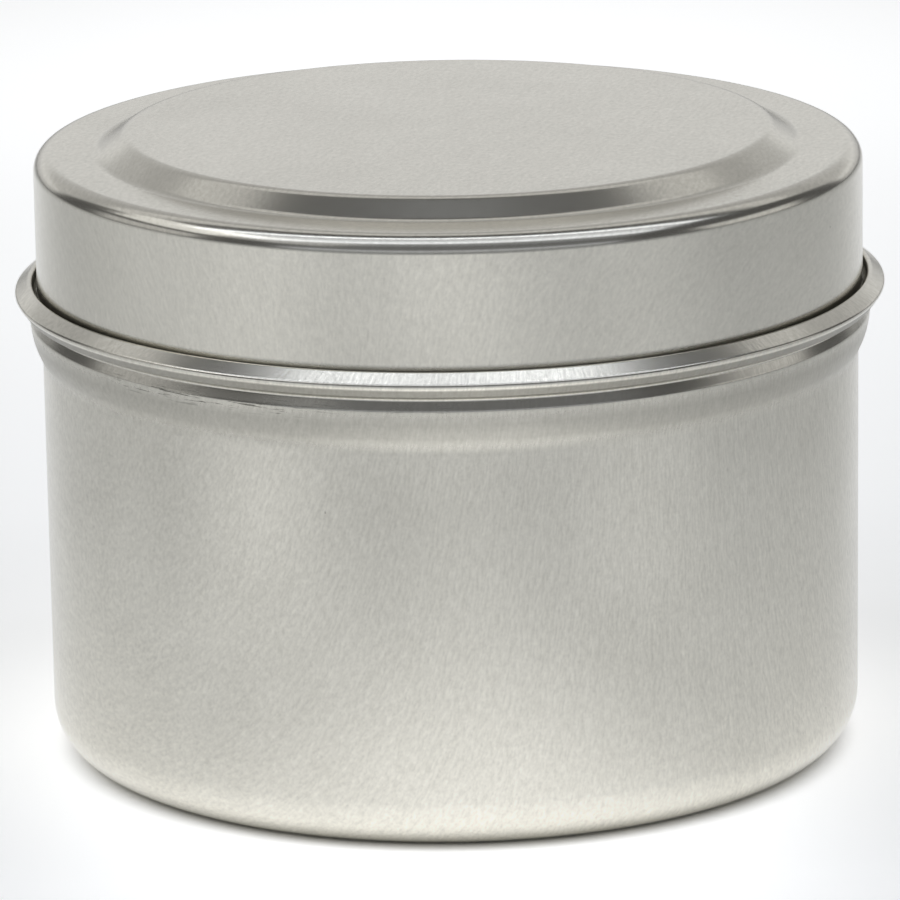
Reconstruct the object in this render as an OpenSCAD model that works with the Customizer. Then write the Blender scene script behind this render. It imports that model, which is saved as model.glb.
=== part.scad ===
// Round slip-lid candle tin, pressed from thin tinplate: a drawn cup and a drawn lid.
// Millimetres. The origin is the middle of the base, and +Z is the tin's axis.
//
// Both pieces are one sheet of even thickness, turned round the axis. A piece is a list of
// corners [radius, height, bend] that its outer face passes, as if the sheet had sharp folds.
// Each fold is then rounded to its bend radius, and the inner face runs one sheet further in.

/* [Sheet] */
// Thickness of the tinplate
sheet = 0.25; // [0.20:0.01:0.28]

/* [Wall and base] */
// Outer diameter of the wall, just below the shoulder
wall_d = 77.6; // [77.2:0.1:77.6]
// How much narrower the wall is at its foot than at its top, on the diameter
wall_draft = 0.2; // [0:0.05:0.4]
// Outer radius of the bend between wall and base
foot_bend = 4.8; // [3:0.1:6]
// Diameter of the panel pressed up into the base, at its upper edge
base_panel_d = 60; // [50:1:62]
// Height of that panel above the standing ring
base_panel_h = 0.7; // [0.4:0.1:1.2]

/* [Shoulder] */
// Height where the wall starts to flare
shoulder_z = 38.5; // [38:0.1:39]
// Lean of the flare where it leaves the wall, in degrees from upright
flare_start = 27; // [24:1:28]
// Lean of the flare at its top, in degrees from upright
flare_end = 8; // [6:1:12]
// Outer diameter at the top of the flare
shoulder_d = 79.86; // [79.7:0.02:79.9]
// Height of the top of the flare
shoulder_top_z = 42.2; // [42.1:0.1:42.3]
// Outer radius of the bend there
shoulder_bend = 0.6; // [0.5:0.05:0.65]
// Outer diameter at the root of the undercut below the bead
undercut_d = 79; // [78.8:0.1:79.2]
// Height of that root
undercut_z = 43.3; // [43.2:0.05:43.4]
// Outer radius of the bend there
undercut_bend = 0.25; // [0.2:0.01:0.27]

/* [Bead] */
// Diameter over the bead, the widest place on the tin
bead_d = 82.55; // [82.3:0.05:82.8]
// Height of the bead's nose
bead_z = 44.8; // [44.7:0.1:44.9]
// Outer radius of the bends in the bead
bead_bend = 0.32; // [0.3:0.01:0.34]
// Slope of the bead's upper band, in degrees from level
upper_slope = 38; // [36:1:40]
// Width of the upper band between the centres of its two bends
upper_band = 1.3; // [1.25:0.05:1.35]
// Slope of the bead's lower band, in degrees from level
lower_slope = 54; // [52:1:56]
// Width of the lower band between the centres of its two bends
lower_band = 1.05; // [1:0.05:1.1]
// Height of the floor of the groove that takes the lid's edge
groove_z = 44.75; // [44.7:0.05:44.8]

/* [Neck] */
// Outer diameter of the neck inside the lid
neck_d = 77.3; // [77.1:0.1:77.3]
// Height of the rim
rim_z = 57.7; // [56:0.1:57.7]
// Outer radius of the curl that makes the rim safe to touch
rim_curl = 0.8; // [0.7:0.05:1.0]

/* [Lid] */
// Outer diameter of the lid's skirt
lid_d = 78.4; // [78.4:0.1:78.6]
// Height of the lid's flat border when the lid is on
lid_z = 58.2; // [58.2:0.1:59]
// Height of the skirt's lower edge when the lid is on
skirt_z = 44.9; // [44.85:0.05:45.4]
// Outer radius of the bend between skirt and border
lid_bend = 1.7; // [1.2:0.1:2]
// Diameter of the raised panel at its top edge
panel_d = 61; // [54:0.5:64]
// Height of the raised panel above the border
panel_h = 1.7; // [1:0.1:2]

/* [Pressed panels] */
// Slope of the side of both pressed panels, in degrees from level
panel_slope = 32; // [26:1:40]
// Radius of the bends at the top and foot of that side
panel_bend = 1.0; // [0.6:0.1:1.2]

/* [Hidden] */
turn_fn = 240;
bend_step = 10;
// A bend fills this share of the room that its corners give it, which leaves a short straight.
curl_share = 0.98;
groove_share = 0.96;
tinplate = [0.78, 0.77, 0.73];

wall_r = wall_d / 2;
foot_r = wall_r - wall_draft / 2;
neck_r = neck_d / 2;
lid_r = lid_d / 2;

// A vector of a given length in the direction of an angle in degrees.
function aimed(length, angle) = length * [cos(angle), sin(angle)];

// The heading from one corner to the next, and a turn brought between -180 and 180 degrees.
function heading(a, b) = atan2(b[1] - a[1], b[0] - a[0]);
function turn(from, to) = (to - from + 540) % 360 - 180;

// Where a line from a, with heading ha, meets a line through b, with heading hb.
function meet(a, ha, b, hb) =
    let (gap = b - a, along = (gap[0] * sin(hb) - gap[1] * cos(hb)) / sin(hb - ha))
    a + aimed(along, ha);

// The corner whose bend, of radius r about centre, joins faces that look along two angles.
function corner_about(centre, r, face_a, face_b) =
    centre + aimed(r / cos((face_b - face_a) / 2), (face_a + face_b) / 2);

// The points of one bend, t to the left of the outer face. It has a point every bend_step.
function bend_points(before, corner, after, r, t) =
    let (
        h = heading(before, corner),
        angle = turn(h, heading(corner, after)),
        side = sign(angle),
        start = corner - aimed(r * tan(abs(angle) / 2), h),
        centre = start + aimed(r, h + 90 * side),
        steps = ceil(abs(angle) / bend_step)
    )
    [for (i = [0 : steps]) centre + aimed(r - side * t, h - 90 * side + angle * i / steps)];

// A free end of the path, t to the left of the outer face.
function end_point(p, h, t) = p + aimed(t, h + 90);

// One face of the sheet: the path's two ends, with every bend between them.
function face(path, t) =
    let (p = [for (c = path) [c[0], c[1]]], last = len(p) - 1)
    concat(
        [end_point(p[0], heading(p[0], p[1]), t)],
        [for (i = [1 : last - 1]) each bend_points(p[i - 1], p[i], p[i + 1], path[i][2], t)],
        [end_point(p[last], heading(p[last - 1], p[last]), t)]
    );

function reversed(list) = [for (i = [len(list) - 1 : -1 : 0]) list[i]];

// A sheet that follows the path, turned round the axis.
module pressed_sheet(path) {
    rotate_extrude($fn = turn_fn)
        polygon(concat(face(path, 0), reversed(face(path, sheet))));
}

// Corners of the flare, from the wall to its top.
wall_top = [wall_r, shoulder_z];
flare_top = [shoulder_d / 2, shoulder_top_z];
flare_mid = meet(wall_top, 90 - flare_start, flare_top, 90 - flare_end);
flare_bend = 7;
kink_bend = 0.8;

// The bead is a fold with three bends: its lower edge, its nose and its crest.
nose_c = [bead_d / 2 - bead_bend, bead_z];
crest_c = nose_c + aimed(upper_band, 180 - upper_slope);
edge_c = nose_c - aimed(lower_band, lower_slope);
undercut = [undercut_d / 2, undercut_z];
edge_face = heading(undercut, edge_c - [0, bead_bend]) - 90;
lower_face = lower_slope - 90;
upper_face = 90 - upper_slope;
groove_wall_r = crest_c[0] - bead_bend;
groove_bend = groove_share * (groove_wall_r - neck_r) / 2;
curl_bend = curl_share * rim_curl;

function body_path() = concat(
    // Base, with its pressed-up panel, and the bend up into the wall.
    [
        [0, base_panel_h],
        [base_panel_d / 2, base_panel_h, panel_bend],
        [base_panel_d / 2 + base_panel_h / tan(panel_slope), 0, panel_bend],
        [foot_r, 0, foot_bend]
    ],
    // Shoulder and undercut.
    [
        concat(wall_top, kink_bend),
        concat(flare_mid, flare_bend),
        concat(flare_top, shoulder_bend),
        concat(undercut, undercut_bend)
    ],
    // Bead, and the groove behind it.
    [
        concat(corner_about(edge_c, bead_bend, edge_face, lower_face), bead_bend),
        concat(corner_about(nose_c, bead_bend, lower_face, upper_face), bead_bend),
        concat(corner_about(crest_c, bead_bend, upper_face, 180), bead_bend),
        [groove_wall_r, groove_z, groove_bend],
        [neck_r, groove_z, groove_bend]
    ],
    // Neck, and the rim curled in and down.
    [
        [neck_r, rim_z, curl_bend],
        [neck_r - 2 * rim_curl, rim_z, curl_bend],
        [neck_r - 2 * rim_curl, rim_z - 2 * rim_curl, curl_bend],
        [neck_r - rim_curl, rim_z - 2 * rim_curl]
    ]
);

function lid_path() = [
    [lid_r, skirt_z],
    [lid_r, lid_z, lid_bend],
    [panel_d / 2 + panel_h / tan(panel_slope), lid_z, panel_bend],
    [panel_d / 2, lid_z + panel_h, panel_bend],
    [0, lid_z + panel_h]
];

// One drawn cup: base, wall, shoulder, bead, neck and rim.
module tin_body() {
    color(tinplate)
        pressed_sheet(body_path());
}

// One drawn lid: skirt, border and raised panel.
module lid() {
    color(tinplate)
        pressed_sheet(lid_path());
}

tin_body();
lid();
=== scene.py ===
# %% [markdown]
# # A candle tin
# This tin has two pieces, a drawn cup and a slip-on lid. Each was pressed from one disc of
# tinplate 0.25 mm thick, so every bead, step and curl on it is a bend in a single sheet.
# The CAD model has the exact sizes and says what moves. This script loads it, makes the two
# pieces again with finer bends, and gives them the look of rolled and pressed tinplate.

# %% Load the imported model
import math

import bmesh
import bpy
import numpy as np
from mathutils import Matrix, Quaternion, Vector


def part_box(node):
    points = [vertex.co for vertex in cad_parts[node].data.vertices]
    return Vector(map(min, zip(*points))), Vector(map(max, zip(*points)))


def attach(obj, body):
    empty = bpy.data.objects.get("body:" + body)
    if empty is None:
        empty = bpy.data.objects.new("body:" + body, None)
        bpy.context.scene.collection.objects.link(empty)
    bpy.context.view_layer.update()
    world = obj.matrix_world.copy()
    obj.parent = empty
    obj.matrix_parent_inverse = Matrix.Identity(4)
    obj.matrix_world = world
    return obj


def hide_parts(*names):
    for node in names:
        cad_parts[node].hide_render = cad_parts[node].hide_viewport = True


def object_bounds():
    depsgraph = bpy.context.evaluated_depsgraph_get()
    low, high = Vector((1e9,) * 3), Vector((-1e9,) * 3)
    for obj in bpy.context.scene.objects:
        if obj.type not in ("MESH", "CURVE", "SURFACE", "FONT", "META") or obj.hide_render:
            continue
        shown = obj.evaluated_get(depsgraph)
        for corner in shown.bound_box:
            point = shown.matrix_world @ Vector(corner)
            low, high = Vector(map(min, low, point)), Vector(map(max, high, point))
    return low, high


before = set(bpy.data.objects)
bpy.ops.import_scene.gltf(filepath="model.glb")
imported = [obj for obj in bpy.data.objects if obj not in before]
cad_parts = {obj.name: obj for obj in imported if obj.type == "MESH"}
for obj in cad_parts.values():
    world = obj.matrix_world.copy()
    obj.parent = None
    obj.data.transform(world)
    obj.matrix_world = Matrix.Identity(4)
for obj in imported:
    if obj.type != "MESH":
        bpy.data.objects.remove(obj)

cad_low, cad_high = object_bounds()
print("CAD box in mm:", [round(1000 * x, 2) for x in (*cad_low, *cad_high)])

# %% [markdown]
# Sizes are kept in millimetres while a shape is worked out, because that is how a tin maker
# writes them. Blender works in metres here, so each length is scaled once, when it is built.
# The sizes that the CAD boxes hold are read from them. The rest repeat the CAD design, but for
# two bends that are drawn softer: at the start of the flare, and round the lid's panel.

# %% Sizes in millimetres
MM = 0.001
body_low, body_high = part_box("tin_body")
lid_low, lid_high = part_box("lid")

SHEET = 0.25
BASE_Z = body_low.z / MM
RIM_Z = body_high.z / MM
BEAD_R = body_high.x / MM
LID_R = lid_high.x / MM
SKIRT_Z = lid_low.z / MM
LID_TOP_Z = lid_high.z / MM

WALL_R, FOOT_R, FOOT_BEND = 38.8, 38.7, 4.8
BASE_PANEL_R, BASE_PANEL_H = 30.0, 0.7
PANEL_R, PANEL_H = 30.5, 1.7
PANEL_SLOPE, BASE_PANEL_BEND = 32.0, 1.0
LID_BEND, LID_PANEL_BEND = 1.7, 1.6

SHOULDER_Z, SHOULDER_TOP = 38.5, (39.93, 42.2)
FLARE_START, FLARE_END, FLARE_BEND = 27.0, 8.0, 7.0
KINK_BEND, SHOULDER_BEND, UNDERCUT_BEND = 2.6, 0.6, 0.25
UNDERCUT = (39.5, 43.3)

BEAD_Z, BEAD_BEND = 44.8, 0.32
UPPER_SLOPE, UPPER_BAND = 38.0, 1.3
LOWER_SLOPE, LOWER_BAND = 54.0, 1.05
GROOVE_Z, GROOVE_SHARE = 44.75, 0.48
NECK_R = 38.65
RIM_CURL, CURL_SHARE = 0.8, 0.98

print("bead radius", round(BEAD_R, 3), "rim", round(RIM_Z, 2), "lid top", round(LID_TOP_Z, 2))

# %% [markdown]
# Both pieces are turned shapes, so each is fully told by its section, the line that a cut
# through the axis would show. The section is a path of corners, like a strip with sharp
# folds, and each fold is rounded to its own radius. The helpers below find the corners.

# %% Helpers for headings and corners
def aimed(length, angle):
    """A step of that length towards an angle in degrees."""
    turned = math.radians(angle)
    return length * np.array([math.cos(turned), math.sin(turned)])


def heading(start, end):
    """The direction from one point to another, in degrees."""
    return math.degrees(math.atan2(end[1] - start[1], end[0] - start[0]))


def meet(a, heading_a, b, heading_b):
    """Where a line from a meets a line through b."""
    gap = np.subtract(b, a)
    across = gap[0] * math.sin(math.radians(heading_b)) - gap[1] * math.cos(math.radians(heading_b))
    return a + aimed(across / math.sin(math.radians(heading_b - heading_a)), heading_a)


def corner_about(centre, radius, face_a, face_b):
    """The corner whose bend about centre joins faces that look along two angles."""
    reach = radius / math.cos(math.radians(face_b - face_a) / 2)
    return centre + aimed(reach, (face_a + face_b) / 2)


# %% Corners of the cup, from the middle of its base to its curled rim
def cup_path():
    """Corners as (radius, height, bend) in mm."""
    wall_top = np.array([WALL_R, SHOULDER_Z])
    flare_mid = meet(wall_top, 90 - FLARE_START, SHOULDER_TOP, 90 - FLARE_END)
    nose = np.array([BEAD_R - BEAD_BEND, BEAD_Z])
    crest = nose + aimed(UPPER_BAND, 180 - UPPER_SLOPE)
    edge = nose - aimed(LOWER_BAND, LOWER_SLOPE)
    edge_face = heading(UNDERCUT, edge - np.array([0, BEAD_BEND])) - 90
    lower_face, upper_face = LOWER_SLOPE - 90, 90 - UPPER_SLOPE
    groove_r = crest[0] - BEAD_BEND
    groove_bend = GROOVE_SHARE * (groove_r - NECK_R)
    curl_bend = CURL_SHARE * RIM_CURL
    curl_r, curl_z = NECK_R - 2 * RIM_CURL, RIM_Z - 2 * RIM_CURL
    panel_foot = BASE_PANEL_R + BASE_PANEL_H / math.tan(math.radians(PANEL_SLOPE))
    return [
        (0, BASE_Z + BASE_PANEL_H, 0),
        (BASE_PANEL_R, BASE_Z + BASE_PANEL_H, BASE_PANEL_BEND),
        (panel_foot, BASE_Z, BASE_PANEL_BEND),
        (FOOT_R, BASE_Z, FOOT_BEND),
        (*wall_top, KINK_BEND),
        (*flare_mid, FLARE_BEND),
        (*SHOULDER_TOP, SHOULDER_BEND),
        (*UNDERCUT, UNDERCUT_BEND),
        (*corner_about(edge, BEAD_BEND, edge_face, lower_face), BEAD_BEND),
        (*corner_about(nose, BEAD_BEND, lower_face, upper_face), BEAD_BEND),
        (*corner_about(crest, BEAD_BEND, upper_face, 180), BEAD_BEND),
        (groove_r, GROOVE_Z, groove_bend),
        (NECK_R, GROOVE_Z, groove_bend),
        (NECK_R, RIM_Z, curl_bend),
        (curl_r, RIM_Z, curl_bend),
        (curl_r, curl_z, curl_bend),
        (NECK_R - RIM_CURL, curl_z, 0),
    ]


# %% Corners of the lid, from the edge of its skirt to the middle of its top
def lid_path():
    """Corners as (radius, height, bend) in mm."""
    border_z = LID_TOP_Z - PANEL_H
    panel_foot = PANEL_R + PANEL_H / math.tan(math.radians(PANEL_SLOPE))
    return [
        (LID_R, SKIRT_Z, 0),
        (LID_R, border_z, LID_BEND),
        (panel_foot, border_z, LID_PANEL_BEND),
        (PANEL_R, LID_TOP_Z, LID_PANEL_BEND),
        (0, LID_TOP_Z, 0),
    ]


print("corners:", len(cup_path()), "on the cup,", len(lid_path()), "on the lid")

# %% [markdown]
# The path becomes stations, which are points on the outer face with the heading there. A bend
# gets one every few degrees. A straight gets one every 2.5 mm, and one close to each end: smooth
# shading blends the directions of the faces at a point, and the close station keeps that
# blend out of the flat metal. The inner face is the outer one moved over by one sheet.

# %% Stations along the sheet
BEND_STEP = 8.0
STRAIGHT_STEP = 2.5
GUARD = 0.06


def bend_stations(before, corner, after, radius):
    """Stations round one bend."""
    start_heading = heading(before, corner)
    angle = (heading(corner, after) - start_heading + 540) % 360 - 180
    side = math.copysign(1, angle)
    start = corner - aimed(radius * math.tan(math.radians(abs(angle)) / 2), start_heading)
    centre = start + aimed(radius, start_heading + 90 * side)
    count = max(3, math.ceil(abs(angle) / BEND_STEP))
    turned = [start_heading + angle * i / count for i in range(count + 1)]
    return [(centre + aimed(radius, h - 90 * side), h) for h in turned]


def straight_stations(start, end):
    """Stations between two bends, without the ends themselves."""
    length = np.linalg.norm(np.subtract(end, start))
    along = heading(start, end)
    if length < 3 * GUARD:
        return []
    count = max(1, math.ceil((length - 2 * GUARD) / STRAIGHT_STEP))
    steps = [GUARD + (length - 2 * GUARD) * i / count for i in range(count + 1)]
    return [(start + aimed(step, along), along) for step in steps]


def stations(path):
    """Every station along a path, as outer points and inner points."""
    points = [np.array(corner[:2], float) for corner in path]
    bends = [[(points[0], heading(points[0], points[1]))]]
    for i in range(1, len(points) - 1):
        bends.append(bend_stations(points[i - 1], points[i], points[i + 1], path[i][2]))
    bends.append([(points[-1], heading(points[-2], points[-1]))])
    found = list(bends[0])
    for here, there in zip(bends, bends[1:]):
        found += straight_stations(here[-1][0], there[0][0]) + there
    outer = np.array([point for point, _ in found])
    inner = np.array([point + aimed(SHEET, h + 90) for point, h in found])
    return outer, inner


cup_faces = stations(cup_path())
lid_faces = stations(lid_path())
print("stations:", len(cup_faces[0]), "on the cup,", len(lid_faces[0]), "on the lid")

# %% [markdown]
# Rolling leaves a fine, straight grain in tinplate. Pressing then bends and stretches the disc,
# so on the wall the grain leans over more and more away from one line. To draw it so, each
# station remembers how far from the middle of the flat disc its metal was. The sheet keeps its
# thickness, so the area inside that circle is the same before and after pressing.

# %% The radius that the metal had in the flat disc
def disc_radius(faces, from_start):
    """Radius in the disc at each station, in mm, by adding up area from the axis outwards."""
    middle = (faces[0] + faces[1]) / 2
    if not from_start:
        middle = middle[::-1]
    steps = np.linalg.norm(np.diff(middle, axis=0), axis=1)
    rings = steps * (middle[1:, 0] + middle[:-1, 0])
    radius = np.sqrt(np.concatenate([[0], np.cumsum(rings)]))
    return radius if from_start else radius[::-1]


cup_disc = disc_radius(cup_faces, True)
lid_disc = disc_radius(lid_faces, False)
print("discs before pressing, in mm:", round(2 * cup_disc.max(), 1), round(2 * lid_disc.max(), 1))

# %% [markdown]
# The two faces and the cut edge between them make one outline that starts and ends on the axis.
# It is stored as a string of points with the disc radius on each, ready to be turned.

# %% Outlines as point strings
def outline(faces, disc, from_start):
    """The section's outline with the metal on its left, as points and disc radii."""
    outer, inner = faces
    order = (outer, inner[::-1]) if from_start else (inner[::-1], outer)
    radii = (disc, disc[::-1]) if from_start else (disc[::-1], disc)
    return np.vstack(order), np.concatenate(radii)


def section_object(name, faces, disc, from_start):
    """A mesh of loose points: radius along X and height along Z, in metres."""
    points, radii = outline(faces, disc, from_start)
    mesh = bpy.data.meshes.new(name)
    mesh.from_pydata([(max(r, 0) * MM, 0, z * MM) for r, z in points], [], [])
    stored = mesh.attributes.new("disc_radius", "FLOAT", "POINT")
    stored.data.foreach_set("value", radii.astype(np.float32))
    return bpy.data.objects.new(name, mesh)


cup_section = section_object("cup_section", cup_faces, cup_disc, True)
lid_section = section_object("lid_section", lid_faces, lid_disc, False)
print("outline points:", len(cup_section.data.vertices), len(lid_section.data.vertices))

# %% [markdown]
# One small helper adds every node, for geometry and for materials alike. Its feeds are what goes
# into the sockets, in order or by name: a socket to link from, or a plain value to set. It hands
# back the node, or just the one output that is wanted, ready to feed the next node.

# %% A helper that adds a node
MATH = "ShaderNodeMath"
VECTOR = "ShaderNodeVectorMath"
RANGE = "ShaderNodeMapRange"
MIX = "ShaderNodeMix"
COMBINE = "ShaderNodeCombineXYZ"
SEPARATE = "ShaderNodeSeparateXYZ"


def add_node(tree, kind, feeds=(), out=None, **settings):
    """Adds a node with its settings and feeds. Returns the output called out, or the node."""
    node = tree.nodes.new(kind)
    for name, value in settings.items():
        setattr(node, name, value)
    for socket, feed in feeds.items() if isinstance(feeds, dict) else enumerate(feeds):
        if isinstance(feed, bpy.types.NodeSocket):
            tree.links.new(feed, node.inputs[socket])
        else:
            node.inputs[socket].default_value = feed
    return node if out is None else node.outputs[out]


print("add_node is ready for geometry and materials")

# %% [markdown]
# A lathe in Geometry Nodes: a flat grid has one row of points for each outline point and one
# column for each step of the turn. Every grid point looks up its outline point by number and
# is set at that radius, height and angle. Merging by distance then closes the seam and the
# two poles. The same tree makes both pieces, which differ in their outline and material.

# %% Geometry nodes for a pressed and turned sheet
def pressed_sheet_tree():
    """The tree, with its outline, number of steps and material as named inputs."""
    tree = bpy.data.node_groups.new("pressed_sheet", "GeometryNodeTree")
    face = tree.interface
    face.new_socket("Geometry", in_out="INPUT", socket_type="NodeSocketGeometry")
    face.new_socket("Outline", in_out="INPUT", socket_type="NodeSocketObject")
    face.new_socket("Steps", in_out="INPUT", socket_type="NodeSocketInt")
    face.new_socket("Merge distance", in_out="INPUT", socket_type="NodeSocketFloat")
    face.new_socket("Sharp angle", in_out="INPUT", socket_type="NodeSocketFloat")
    face.new_socket("Material", in_out="INPUT", socket_type="NodeSocketMaterial")
    face.new_socket("Geometry", in_out="OUTPUT", socket_type="NodeSocketGeometry")
    given = add_node(tree, "NodeGroupInput").outputs

    # The grid: a row for each outline point, a column for each step of the turn.
    section = add_node(tree, "GeometryNodeObjectInfo", {"Object": given["Outline"]}, "Geometry")
    rows = add_node(
        tree,
        "GeometryNodeAttributeDomainSize",
        {"Geometry": section},
        "Point Count",
        component="MESH",
    )
    columns = add_node(tree, MATH, [given["Steps"], 1], 0, operation="ADD")
    grid = add_node(
        tree, "GeometryNodeMeshGrid", {"Vertices X": rows, "Vertices Y": columns}, "Mesh"
    )

    # The row and column of each grid point, from its number.
    index = add_node(tree, "GeometryNodeInputIndex", (), 0)
    middle = add_node(tree, MATH, [index, 0.5], 0, operation="ADD")
    share = add_node(tree, MATH, [middle, columns], 0, operation="DIVIDE")
    row = add_node(tree, MATH, [share], 0, operation="FLOOR")
    row_start = add_node(tree, MATH, [row, columns], 0, operation="MULTIPLY")
    column = add_node(tree, MATH, [index, row_start], 0, operation="SUBTRACT")
    turns = add_node(tree, MATH, [column, given["Steps"]], 0, operation="DIVIDE")
    angle = add_node(tree, MATH, [turns, math.tau], 0, operation="MULTIPLY")
    cosine = add_node(tree, MATH, [angle], 0, operation="COSINE")
    sine = add_node(tree, MATH, [angle], 0, operation="SINE")
    ray = add_node(tree, COMBINE, [cosine, sine], 0)

    # The outline point of that row, turned by that column's angle.
    position = add_node(tree, "GeometryNodeInputPosition", (), 0)
    on_outline = add_node(
        tree,
        "GeometryNodeSampleIndex",
        {"Geometry": section, "Value": position, "Index": row},
        "Value",
        data_type="FLOAT_VECTOR",
        domain="POINT",
    )
    radius, _, height = add_node(tree, SEPARATE, [on_outline]).outputs
    level = add_node(tree, VECTOR, {0: ray, "Scale": radius}, 0, operation="SCALE")
    up = add_node(tree, COMBINE, {2: height}, 0)
    turned = add_node(tree, VECTOR, [level, up], 0, operation="ADD")

    # The same for the place in the flat disc.
    stored = add_node(
        tree,
        "GeometryNodeInputNamedAttribute",
        {"Name": "disc_radius"},
        "Attribute",
        data_type="FLOAT",
    )
    flat_radius = add_node(
        tree,
        "GeometryNodeSampleIndex",
        {"Geometry": section, "Value": stored, "Index": row},
        "Value",
        data_type="FLOAT",
        domain="POINT",
    )
    in_disc = add_node(tree, VECTOR, {0: ray, "Scale": flat_radius}, 0, operation="SCALE")
    marked = add_node(
        tree,
        "GeometryNodeStoreNamedAttribute",
        {"Geometry": grid, "Name": "disc", "Value": in_disc},
        0,
        data_type="FLOAT_VECTOR",
        domain="POINT",
    )

    # The shape: set the points, close the seam, face outwards, and shade smooth between cuts.
    shaped = add_node(
        tree, "GeometryNodeSetPosition", {"Geometry": marked, "Position": turned}, 0
    )
    closed = add_node(
        tree,
        "GeometryNodeMergeByDistance",
        {"Geometry": shaped, "Distance": given["Merge distance"]},
        0,
    )
    outwards = add_node(tree, "GeometryNodeFlipFaces", {"Mesh": closed}, 0)
    smooth = add_node(
        tree, "GeometryNodeSetShadeSmooth", {"Geometry": outwards}, 0, domain="FACE"
    )
    edge_angle = add_node(tree, "GeometryNodeInputMeshEdgeAngle", (), "Unsigned Angle")
    sharp = add_node(
        tree, MATH, [edge_angle, given["Sharp angle"]], 0, operation="GREATER_THAN"
    )
    cut_edges = add_node(
        tree,
        "GeometryNodeSetShadeSmooth",
        {"Geometry": smooth, "Selection": sharp, "Shade Smooth": False},
        0,
        domain="EDGE",
    )
    real = add_node(tree, "GeometryNodeRealizeInstances", {"Geometry": cut_edges}, 0)
    finished = add_node(
        tree, "GeometryNodeSetMaterial", {"Geometry": real, "Material": given["Material"]}, 0
    )
    add_node(tree, "NodeGroupOutput", {"Geometry": finished})
    return tree


sheet_tree = pressed_sheet_tree()
print("nodes in the lathe:", len(sheet_tree.nodes))

# %% [markdown]
# Tinplate is steel strip under a very thin coat of tin. The real surface is a satin mirror: it
# reflects the room as soft bands, a little warmer than the light. Three things show up close.
# Rolling leaves fine streaks along one direction. Tin freezes in patches, a faint mottle.
# Handling leaves small dark specks, and tools leave short rubbed dashes.

# %% Colours
def linear(code):
    """An sRGB hex colour as linear red, green, blue and alpha."""
    shares = [int(code[i : i + 2], 16) / 255 for i in (1, 3, 5)]
    return (*[s / 12.92 if s <= 0.04045 else ((s + 0.055) / 1.055) ** 2.4 for s in shares], 1)


# %% [markdown]
# The patterns are kept apart by cause, so each has its own size. Streaks and scratches lie in
# the disc's own millimetres, so they bend with the metal. Mottle and haze lie on the finished
# surface. A scratch is a cell pattern stretched until each cell's middle is a thin dash.

# %% Patterns in the tinplate
def cloud(tree, place, turn, size, detail=3.0, shift=(0, 0, 0)):
    """Noise whose patches have a given size along each axis, after a turn."""
    laid = add_node(
        tree, "ShaderNodeMapping", [place, shift, (0, 0, turn), size], 0, vector_type="TEXTURE"
    )
    feeds = {"Vector": laid, "Scale": 1.0, "Detail": detail, "Roughness": 0.55}
    return add_node(tree, "ShaderNodeTexNoise", feeds, "Fac")


def cell_middles(tree, place, turn, size, reach):
    """Spots in the cells of a loose grid. reach is a spot's radius as a share of a cell.

    The cells are solid. A cell leaves a spot only if its middle lies that close to the sheet,
    so most cells leave none.
    """
    laid = add_node(
        tree, "ShaderNodeMapping", [place, (0, 0, 0), (0, 0, turn), size], 0, vector_type="TEXTURE"
    )
    away = add_node(tree, "ShaderNodeTexVoronoi", {"Vector": laid, "Scale": 1.0}, "Distance")
    return add_node(tree, RANGE, [away, 0.5 * reach, reach, 1.0, 0.0], 0)


def rolling_grain(tree, disc, turn):
    """Streaks from the rolls, drawn 0.38 mm wide and 0.8 mm long. The real ones are finer still."""
    fine = cloud(tree, disc, turn, (0.8, 0.38, 1))
    broad = cloud(tree, disc, turn, (6.0, 1.2, 1), shift=(31, 7, 0))
    return add_node(tree, MIX, {0: 0.25, 2: fine, 3: broad}, 0, data_type="FLOAT")


def tin_mottle(tree, place):
    """Frozen patches of tin, 0.3 mm across."""
    return cloud(tree, place, 0, (0.3 * MM, 0.3 * MM, 0.3 * MM))


def handling_haze(tree, place):
    """Slow changes left by fingers and packing, 15 mm across."""
    return cloud(tree, place, 0, (15 * MM, 15 * MM, 15 * MM), detail=2.0)


def scratches(tree, disc, turn):
    """Rare, faint, straight scratches about 3 mm long and 0.1 mm wide, on some parts only."""
    dashes = cell_middles(tree, disc, turn, (60.0, 2.0, 1), 0.03)
    patches = cloud(tree, disc, turn, (9, 9, 1), shift=(9, 2, 0))
    some = add_node(tree, RANGE, [patches, 0.50, 0.58, 0.0, 0.22], 0)
    return add_node(tree, MATH, [dashes, some], 0, operation="MULTIPLY")


def specks(tree, disc):
    """Pinholes and dust 0.2 mm across, in 9 mm cells. Only a few cells in a hundred have one."""
    found = cell_middles(tree, disc, 0, (9.0, 9.0, 1), 0.014)
    return add_node(tree, MATH, [found, 0.45], 0, operation="MULTIPLY")


# %% [markdown]
# Each piece also has marks of its own, told by height and by the angle round the axis. The jaws
# that closed the bead rubbed short dashes just below it, mostly on one side. The crease under the
# bead, the flare and the cut edge of the lid get painted shade: they are drawn darker and rougher.

# %% Marks and painted shade on each piece
def between(tree, value, low, high, soft, strength):
    """A strength between two limits that fades to nothing over twice soft at each."""
    rise = add_node(tree, RANGE, [value, low - soft, low + soft, 0.0, strength], 0)
    fall = add_node(tree, RANGE, [value, high - soft, high + soft, 1.0, 0.0], 0)
    return add_node(tree, MATH, [rise, fall], 0, operation="MULTIPLY")


# Heights in mm, from and to. The jaws' dashes lie within two angles round the axis.
# The crease and flare bands are painted shade.
JAW_BAND, CREASE_SHADE_BAND, FLARE_SHADE_BAND = (41.2, 42.6), (43.35, 44.45), (38.6, 41.8)
JAW_SIDE = math.radians(-140), math.radians(-106)


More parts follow.
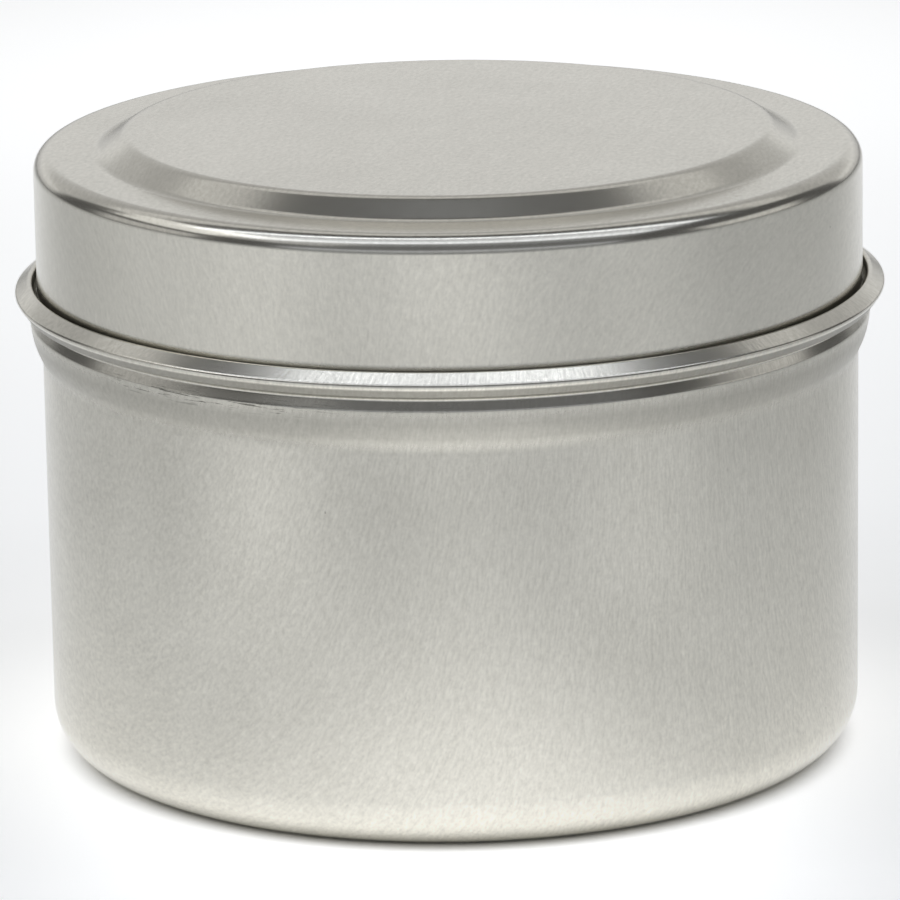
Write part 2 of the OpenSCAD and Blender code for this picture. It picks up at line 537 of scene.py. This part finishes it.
def cup_marks_and_shade(tree, place):
    """Rubbed dashes under the bead, and painted shade in its crease and on the flare."""
    x, y, z = add_node(tree, SEPARATE, [place]).outputs
    angle = add_node(tree, MATH, [y, x], 0, operation="ARCTAN2")
    around = add_node(tree, MATH, [angle, WALL_R], 0, operation="MULTIPLY")
    height = add_node(tree, MATH, [z, 1 / MM], 0, operation="MULTIPLY")
    wrapped = add_node(tree, COMBINE, [around, height], 0)
    streaks = cloud(tree, wrapped, 0, (3.3, 0.2, 1), shift=(5, 3, 0))
    dashes = add_node(tree, RANGE, [streaks, 0.56, 0.62, 0.0, 1.0], 0)
    patches = cloud(tree, wrapped, 0, (10, 10, 1))
    some = add_node(tree, RANGE, [patches, 0.60, 0.66, 0.0, 0.5], 0)
    side = between(tree, angle, *JAW_SIDE, math.radians(6), 0.7)
    where = add_node(tree, MATH, [some, side], 0, operation="MAXIMUM")
    jaws = between(tree, height, *JAW_BAND, 0.25, 1.0)
    rubbed = add_node(tree, MATH, [dashes, where], 0, operation="MULTIPLY")
    rubbed = add_node(tree, MATH, [rubbed, jaws], 0, operation="MULTIPLY")
    # Painted shade: the crease under the bead and the flare are drawn darker and rougher.
    crease_shade = between(tree, height, *CREASE_SHADE_BAND, 0.1, 0.55)
    flare_shade = between(tree, height, *FLARE_SHADE_BAND, 0.9, 0.33)
    painted_shade = add_node(tree, MATH, [crease_shade, flare_shade], 0, operation="MAXIMUM")
    return add_node(tree, MATH, [rubbed, painted_shade], 0, operation="MAXIMUM")


def lid_edge_shade(tree, place):
    """Painted shade along the cut edge of the skirt, where it hangs over the gap."""
    # Painted shade: darkest on the lowest 0.6 mm of the skirt, fading out by 1.5 mm up.
    z = add_node(tree, SEPARATE, [place], 2)
    height = add_node(tree, MATH, [z, 1 / MM], 0, operation="MULTIPLY")
    return add_node(tree, RANGE, [height, SKIRT_Z + 0.6, SKIRT_Z + 1.5, 0.6, 0.0], 0)


# %% [markdown]
# One function makes the metal for both pieces. The texture shifts the colour between a bright
# and a dull tin, dulls the gloss where it is dull, and lifts the surface by a few thousandths
# of a millimetre. Dirt, and painted shade in creases and at edges, go on top as a dark, rough film.

# %% Tinplate, cold rolled and then pressed
# The dark colour of dirt, specks and scratches, and also of the painted shade in creases and at the
# lid's edge.
GRIME_AND_SHADE = "#3F3D36"
# This part of the texture's range is spread over the whole tone.
TEXTURE_LOW, TEXTURE_HIGH = 0.34, 0.66
# How much the gloss varies with the texture, and how much rougher full grime or painted shade is.
ROUGHNESS_SPREAD, GRIME_AND_SHADE_ROUGHNESS = 0.03, 0.3
MOTTLE_SHARE, HAZE_SHARE = 0.3, 0.2
# Two directions of scratches in the disc, in radians.
SCRATCH_TURNS = 0.9, 2.3
BUMP_HEIGHT = 0.0025 * MM


def tinplate(name, bright, dull, grain_turn, roughness, marks):
    """Satin metal. marks gives the piece's own wear and painted shade, beside what all tinplate
    has.
    """
    made = bpy.data.materials.new(name)
    made.use_nodes = True
    tree = made.node_tree
    tree.nodes.clear()
    disc = add_node(tree, "ShaderNodeAttribute", (), "Vector", attribute_name="disc")
    place = add_node(tree, "ShaderNodeTexCoord", (), "Object")

    grain = rolling_grain(tree, disc, grain_turn)
    mottle = tin_mottle(tree, place)
    texture = add_node(tree, MIX, {0: MOTTLE_SHARE, 2: grain, 3: mottle}, 0, data_type="FLOAT")
    haze = handling_haze(tree, place)
    toned = add_node(tree, MIX, {0: HAZE_SHARE, 2: texture, 3: haze}, 0, data_type="FLOAT")

    one_way, other_way = (scratches(tree, disc, turn) for turn in SCRATCH_TURNS)
    lines = add_node(tree, MATH, [one_way, other_way], 0, operation="MAXIMUM")
    dirt_and_shade = add_node(tree, MATH, [lines, specks(tree, disc)], 0, operation="MAXIMUM")
    dirt_and_shade = add_node(tree, MATH, [dirt_and_shade, marks(tree, place)], 0, operation="MAXIMUM")

    tone = add_node(tree, RANGE, [toned, TEXTURE_LOW, TEXTURE_HIGH, 0.0, 1.0], 0)
    tones = {0: tone, 6: linear(dull), 7: linear(bright)}
    clean = add_node(tree, MIX, tones, 2, data_type="RGBA")
    soiled_and_shaded = {0: dirt_and_shade, 6: clean, 7: linear(GRIME_AND_SHADE)}
    colour = add_node(tree, MIX, soiled_and_shaded, 2, data_type="RGBA")

    rough, smooth = roughness + ROUGHNESS_SPREAD, roughness - ROUGHNESS_SPREAD
    rubbed = add_node(tree, RANGE, [toned, TEXTURE_LOW, TEXTURE_HIGH, rough, smooth], 0)
    film = add_node(tree, MATH, [dirt_and_shade, GRIME_AND_SHADE_ROUGHNESS], 0, operation="MULTIPLY")
    gloss = add_node(tree, MATH, [rubbed, film], 0, operation="ADD")
    lifted = {"Height": texture, "Strength": 0.5, "Distance": BUMP_HEIGHT}
    bump = add_node(tree, "ShaderNodeBump", lifted, 0)
    surface = {"Base Color": colour, "Metallic": 1.0, "Roughness": gloss, "Normal": bump}
    shader = add_node(tree, "ShaderNodeBsdfPrincipled", surface, 0)
    add_node(tree, "ShaderNodeOutputMaterial", {"Surface": shader})
    return made


# The lid is a separate pressing, so its grain runs another way.
CUP_GRAIN, LID_GRAIN = math.radians(-61), math.radians(-105)
cup_tinplate = tinplate("rolled_tinplate_cup", "#E5E2D8", "#C8C5BB", CUP_GRAIN, 0.22, cup_marks_and_shade)
lid_tinplate = tinplate("rolled_tinplate_lid", "#E2DFD5", "#CFCCC2", LID_GRAIN, 0.20, lid_edge_shade)
print("tinplate nodes:", len(cup_tinplate.node_tree.nodes), len(lid_tinplate.node_tree.nodes))

# %% [markdown]
# Each piece is made by giving the tree its outline and material, taking the evaluated mesh as
# a plain mesh, and dropping the modifier. A closed mesh with faces turned outwards has a
# positive volume, and it should match the weight of metal that the CAD says.

# %% Press the cup and the lid
TURN_STEPS = 240


def press(name, section, metal):
    """Runs the lathe on an outline and returns a plain mesh object."""
    blank = bpy.data.objects.new(name + "_blank", bpy.data.meshes.new(name + "_blank"))
    bpy.context.scene.collection.objects.link(section)
    bpy.context.scene.collection.objects.link(blank)
    lathe = blank.modifiers.new("lathe", "NODES")
    lathe.node_group = sheet_tree
    sockets = {s.name: s.identifier for s in sheet_tree.interface.items_tree if s.in_out == "INPUT"}
    lathe[sockets["Outline"]] = section
    lathe[sockets["Steps"]] = TURN_STEPS
    lathe[sockets["Merge distance"]] = 1e-6
    lathe[sockets["Sharp angle"]] = math.radians(40)
    lathe[sockets["Material"]] = metal
    scene_now = bpy.context.evaluated_depsgraph_get()
    mesh = bpy.data.meshes.new_from_object(blank.evaluated_get(scene_now))
    mesh.name = name
    blank.modifiers.clear()
    bpy.data.objects.remove(blank)
    bpy.data.objects.remove(section)
    piece = bpy.data.objects.new(name, mesh)
    bpy.context.scene.collection.objects.link(piece)
    checked = bmesh.new()
    checked.from_mesh(mesh)
    open_edges = sum(not e.is_manifold for e in checked.edges)
    volume = checked.calc_volume(signed=True) / MM**3
    checked.free()
    triangles = sum(len(p.vertices) - 2 for p in mesh.polygons)
    print(name, "triangles", triangles, "open edges", open_edges, "volume mm3", round(volume, 1))
    return piece


cup = press("cup_shell", cup_section, cup_tinplate)
lid = press("lid_shell", lid_section, lid_tinplate)

# %% [markdown]
# The cup shell stands for the CAD cup and the lid shell for the CAD lid. The lid rides on
# the body that slides up, so lifting it off takes the fine lid along.

# %% Tie the pieces to the CAD bodies
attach(cup, "body")
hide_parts("tin_body")
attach(lid, "cover")
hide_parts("lid")
print("cup and lid ride on their bodies")

# %% [markdown]
# Metal shows what is around it, so the table and the lights matter more than usual. The wall
# of the tin mirrors the table in front of it, and the lid mirrors the back of the room. The
# table is plain white, lit from above, with painted light glowing from it in soft pools, most
# of all near the middle and at the back, placed for the tin's metal to mirror.

# %% Table with painted glow
TABLE_HALF = 2.0
# Each pool of painted light: its middle in metres, how far it reaches, and its strength there.
PAINTED_GLOW_POOLS = [
    ((0, 0, 0), 0.06, 0.48),
    ((0, 0, 0), 0.09, 0.21),
    ((0, 0, 0), 0.16, 0.20),
    ((0, 0, 0), 0.28, 0.11),
    ((0, -0.05, 0), 0.06, 0.24),
    ((0, -0.09, 0), 0.08, 0.20),
    ((-0.1, -0.1, 0), 0.08, 0.21),
    ((0.1, -0.1, 0), 0.08, 0.14),
    ((-0.2, -0.2, 0), 0.18, 0.30),
    ((0.2, -0.2, 0), 0.18, 0.19),
    ((0, -0.3, 0), 0.20, 0.42),
    ((-0.3, -0.05, 0), 0.20, 0.13),
    ((0, 0.12, 0), 0.14, 0.15),
    ((0, 0.3, 0), 0.30, 0.52),
]
# Painted shadow: the glow dies out under the foot, over this range of radius in metres.
FOOT_SHADE = 0.0350, 0.0390


def white_floor_painted_glow():
    """Matt white sheet with painted light glowing in soft pools, cut out under the tin's foot."""
    made = bpy.data.materials.new("matt_white_floor_painted_glow")
    made.use_nodes = True
    tree = made.node_tree
    tree.nodes.clear()
    place = add_node(tree, "ShaderNodeTexCoord", (), "Object")
    glow = 0.0
    for middle, reach, strength in PAINTED_GLOW_POOLS:
        away = add_node(tree, VECTOR, [place, middle], "Value", operation="DISTANCE")
        fading = [away, 0.0, reach, strength, 0.0]
        pool = add_node(tree, RANGE, fading, 0, interpolation_type="SMOOTHSTEP")
        glow = add_node(tree, MATH, [glow, pool], 0, operation="ADD")
    # Painted shadow under the foot: the glow is cut out near the tin's edge.
    from_axis = add_node(tree, VECTOR, [place], "Value", operation="LENGTH")
    ramp = [from_axis, *FOOT_SHADE, 0.0, 1.0]
    shade = add_node(tree, RANGE, ramp, 0, interpolation_type="SMOOTHSTEP")
    glow = add_node(tree, MATH, [glow, shade], 0, operation="MULTIPLY")
    surface = {
        "Base Color": linear("#FAFAF8"),
        "Roughness": 0.9,
        "Specular IOR Level": 0.2,
        "Emission Color": (1, 1, 1, 1),
        "Emission Strength": glow,
    }
    shader = add_node(tree, "ShaderNodeBsdfPrincipled", surface, 0)
    add_node(tree, "ShaderNodeOutputMaterial", {"Surface": shader})
    return made


def table_top(name, half, material):
    """A flat square sheet at the height of the tin's foot."""
    mesh = bpy.data.meshes.new(name)
    z = cad_low.z
    corners = [(-half, -half, z), (half, -half, z), (half, half, z), (-half, half, z)]
    mesh.from_pydata(corners, [], [(0, 1, 2, 3)])
    mesh.materials.append(material)
    made = bpy.data.objects.new(name, mesh)
    bpy.context.scene.collection.objects.link(made)


table_top("floor", TABLE_HALF, white_floor_painted_glow())
print("glow pools:", len(PAINTED_GLOW_POOLS))

# %% [markdown]
# The lights are soft panels on an arch over the tin, from the front horizon (0 degrees) over
# the top (90) to the back (180). Each bend in the tin picks one part of the arch: the panels
# near 60 and 90 draw the bright lines on the bead and the lid's edge, the dark gap behind the
# top draws the shaded step round the lid's panel, and the low back ones light the lid's top.
# The low front and side panels soften the creases, and light the lid for a view from behind.

# %% Lights
ARCH_RADIUS, ARCH_WIDTH = 0.8, 1.6
# Angle along the arch, half the panel's height as an angle, and power in watts.
ARCH_PANELS = {
    "front_horizon": (12, 7, 0.42),
    "front_low": (30, 9, 0.10),
    "front_middle": (48, 8, 0.20),
    "front_high": (62, 6, 1.15),
    "front_top": (74, 5, 0.57),
    "top_front": (84, 4, 0.32),
    "top": (90, 3, 0.98),
    "back_high": (121, 8, 0.62),
    "back_middle": (135, 8, 0.39),
    "back_low": (151, 8, 0.50),
    "back_card": (164, 5, 0.50),
    "back_horizon": (173, 4, 0.28),
}
# Angle round the tin from the front (positive to the right), angle above the table, height in
# metres and power in watts.
SIDE_PANELS = {
    "left": (-90, 40, 0.40, 0.62),
    "left_front": (-55, 40, 0.40, 0.19),
    "left_low": (-90, 12, 0.25, 0.22),
    "right_low": (90, 12, 0.25, 0.28),
}
SIDE_DISTANCE, SIDE_WIDTH = 0.9, 0.6
# The front and top panels are a little cool, which keeps the highlights from looking yellow.
COOL, WHITE = "#F0F5FF", "#FFFFFF"


def soft_panel(name, place, width, height, power, colour):
    """A rectangular area light that faces the tin."""
    data = bpy.data.lights.new(name, "AREA")
    data.shape = "RECTANGLE"
    data.size, data.size_y = width, height
    data.energy = power
    data.color = linear(colour)[:3]
    made = bpy.data.objects.new(name, data)
    made.location = place
    made.rotation_mode = "QUATERNION"
    made.rotation_quaternion = (-Vector(place)).to_track_quat("-Z", "Y")
    bpy.context.scene.collection.objects.link(made)


def on_dome(around, above, distance):
    """A place at that many degrees round from the front and above the table."""
    turned, raised = math.radians(around), math.radians(above)
    level = math.cos(raised) * distance
    return level * math.sin(turned), -level * math.cos(turned), math.sin(raised) * distance


for panel_name, (above, half_angle, power) in ARCH_PANELS.items():
    tall = 2 * ARCH_RADIUS * math.tan(math.radians(half_angle))
    colour = COOL if above <= 90 else WHITE
    soft_panel(panel_name, on_dome(0, above, ARCH_RADIUS), ARCH_WIDTH, tall, power, colour)
for panel_name, (around, above, tall, power) in SIDE_PANELS.items():
    place = on_dome(around, above, SIDE_DISTANCE)
    soft_panel(panel_name, place, SIDE_WIDTH, tall, power, WHITE)
print("soft panels:", len(ARCH_PANELS) + len(SIDE_PANELS))

# %% Room light
ROOM_LIGHT = 0.09
world = bpy.data.worlds.new("room")
world.use_nodes = True
bpy.context.scene.world = world
world.node_tree.nodes["Background"].inputs["Color"].default_value = (1, 1, 1, 1)
world.node_tree.nodes["Background"].inputs["Strength"].default_value = ROOM_LIGHT
print("room light:", ROOM_LIGHT)

# %% [markdown]
# A long lens from a little above the lid keeps the rim's ellipse shallow.

# %% Camera
CAMERA_AIM = Vector((-0.225, 0, 28.09)) * MM
CAMERA_DISTANCE = 669.8 * MM
CAMERA_ABOVE = math.radians(14.889)
CAMERA_ROLL = math.radians(-0.902)

towards_camera = Vector((0, -math.cos(CAMERA_ABOVE), math.sin(CAMERA_ABOVE)))
lens = bpy.data.cameras.new("camera")
lens.sensor_width, lens.lens = 36, 280
lens.clip_start, lens.clip_end = 0.01, 100
camera = bpy.data.objects.new("camera", lens)
camera.location = CAMERA_AIM + towards_camera * CAMERA_DISTANCE
camera.rotation_mode = "QUATERNION"
level = (-towards_camera).to_track_quat("-Z", "Y")
camera.rotation_quaternion = level @ Quaternion((0, 0, 1), CAMERA_ROLL)
bpy.context.scene.collection.objects.link(camera)
bpy.context.scene.camera = camera
bpy.context.scene.view_settings.view_transform = "Standard"
print("camera at", [round(x, 4) for x in camera.location])
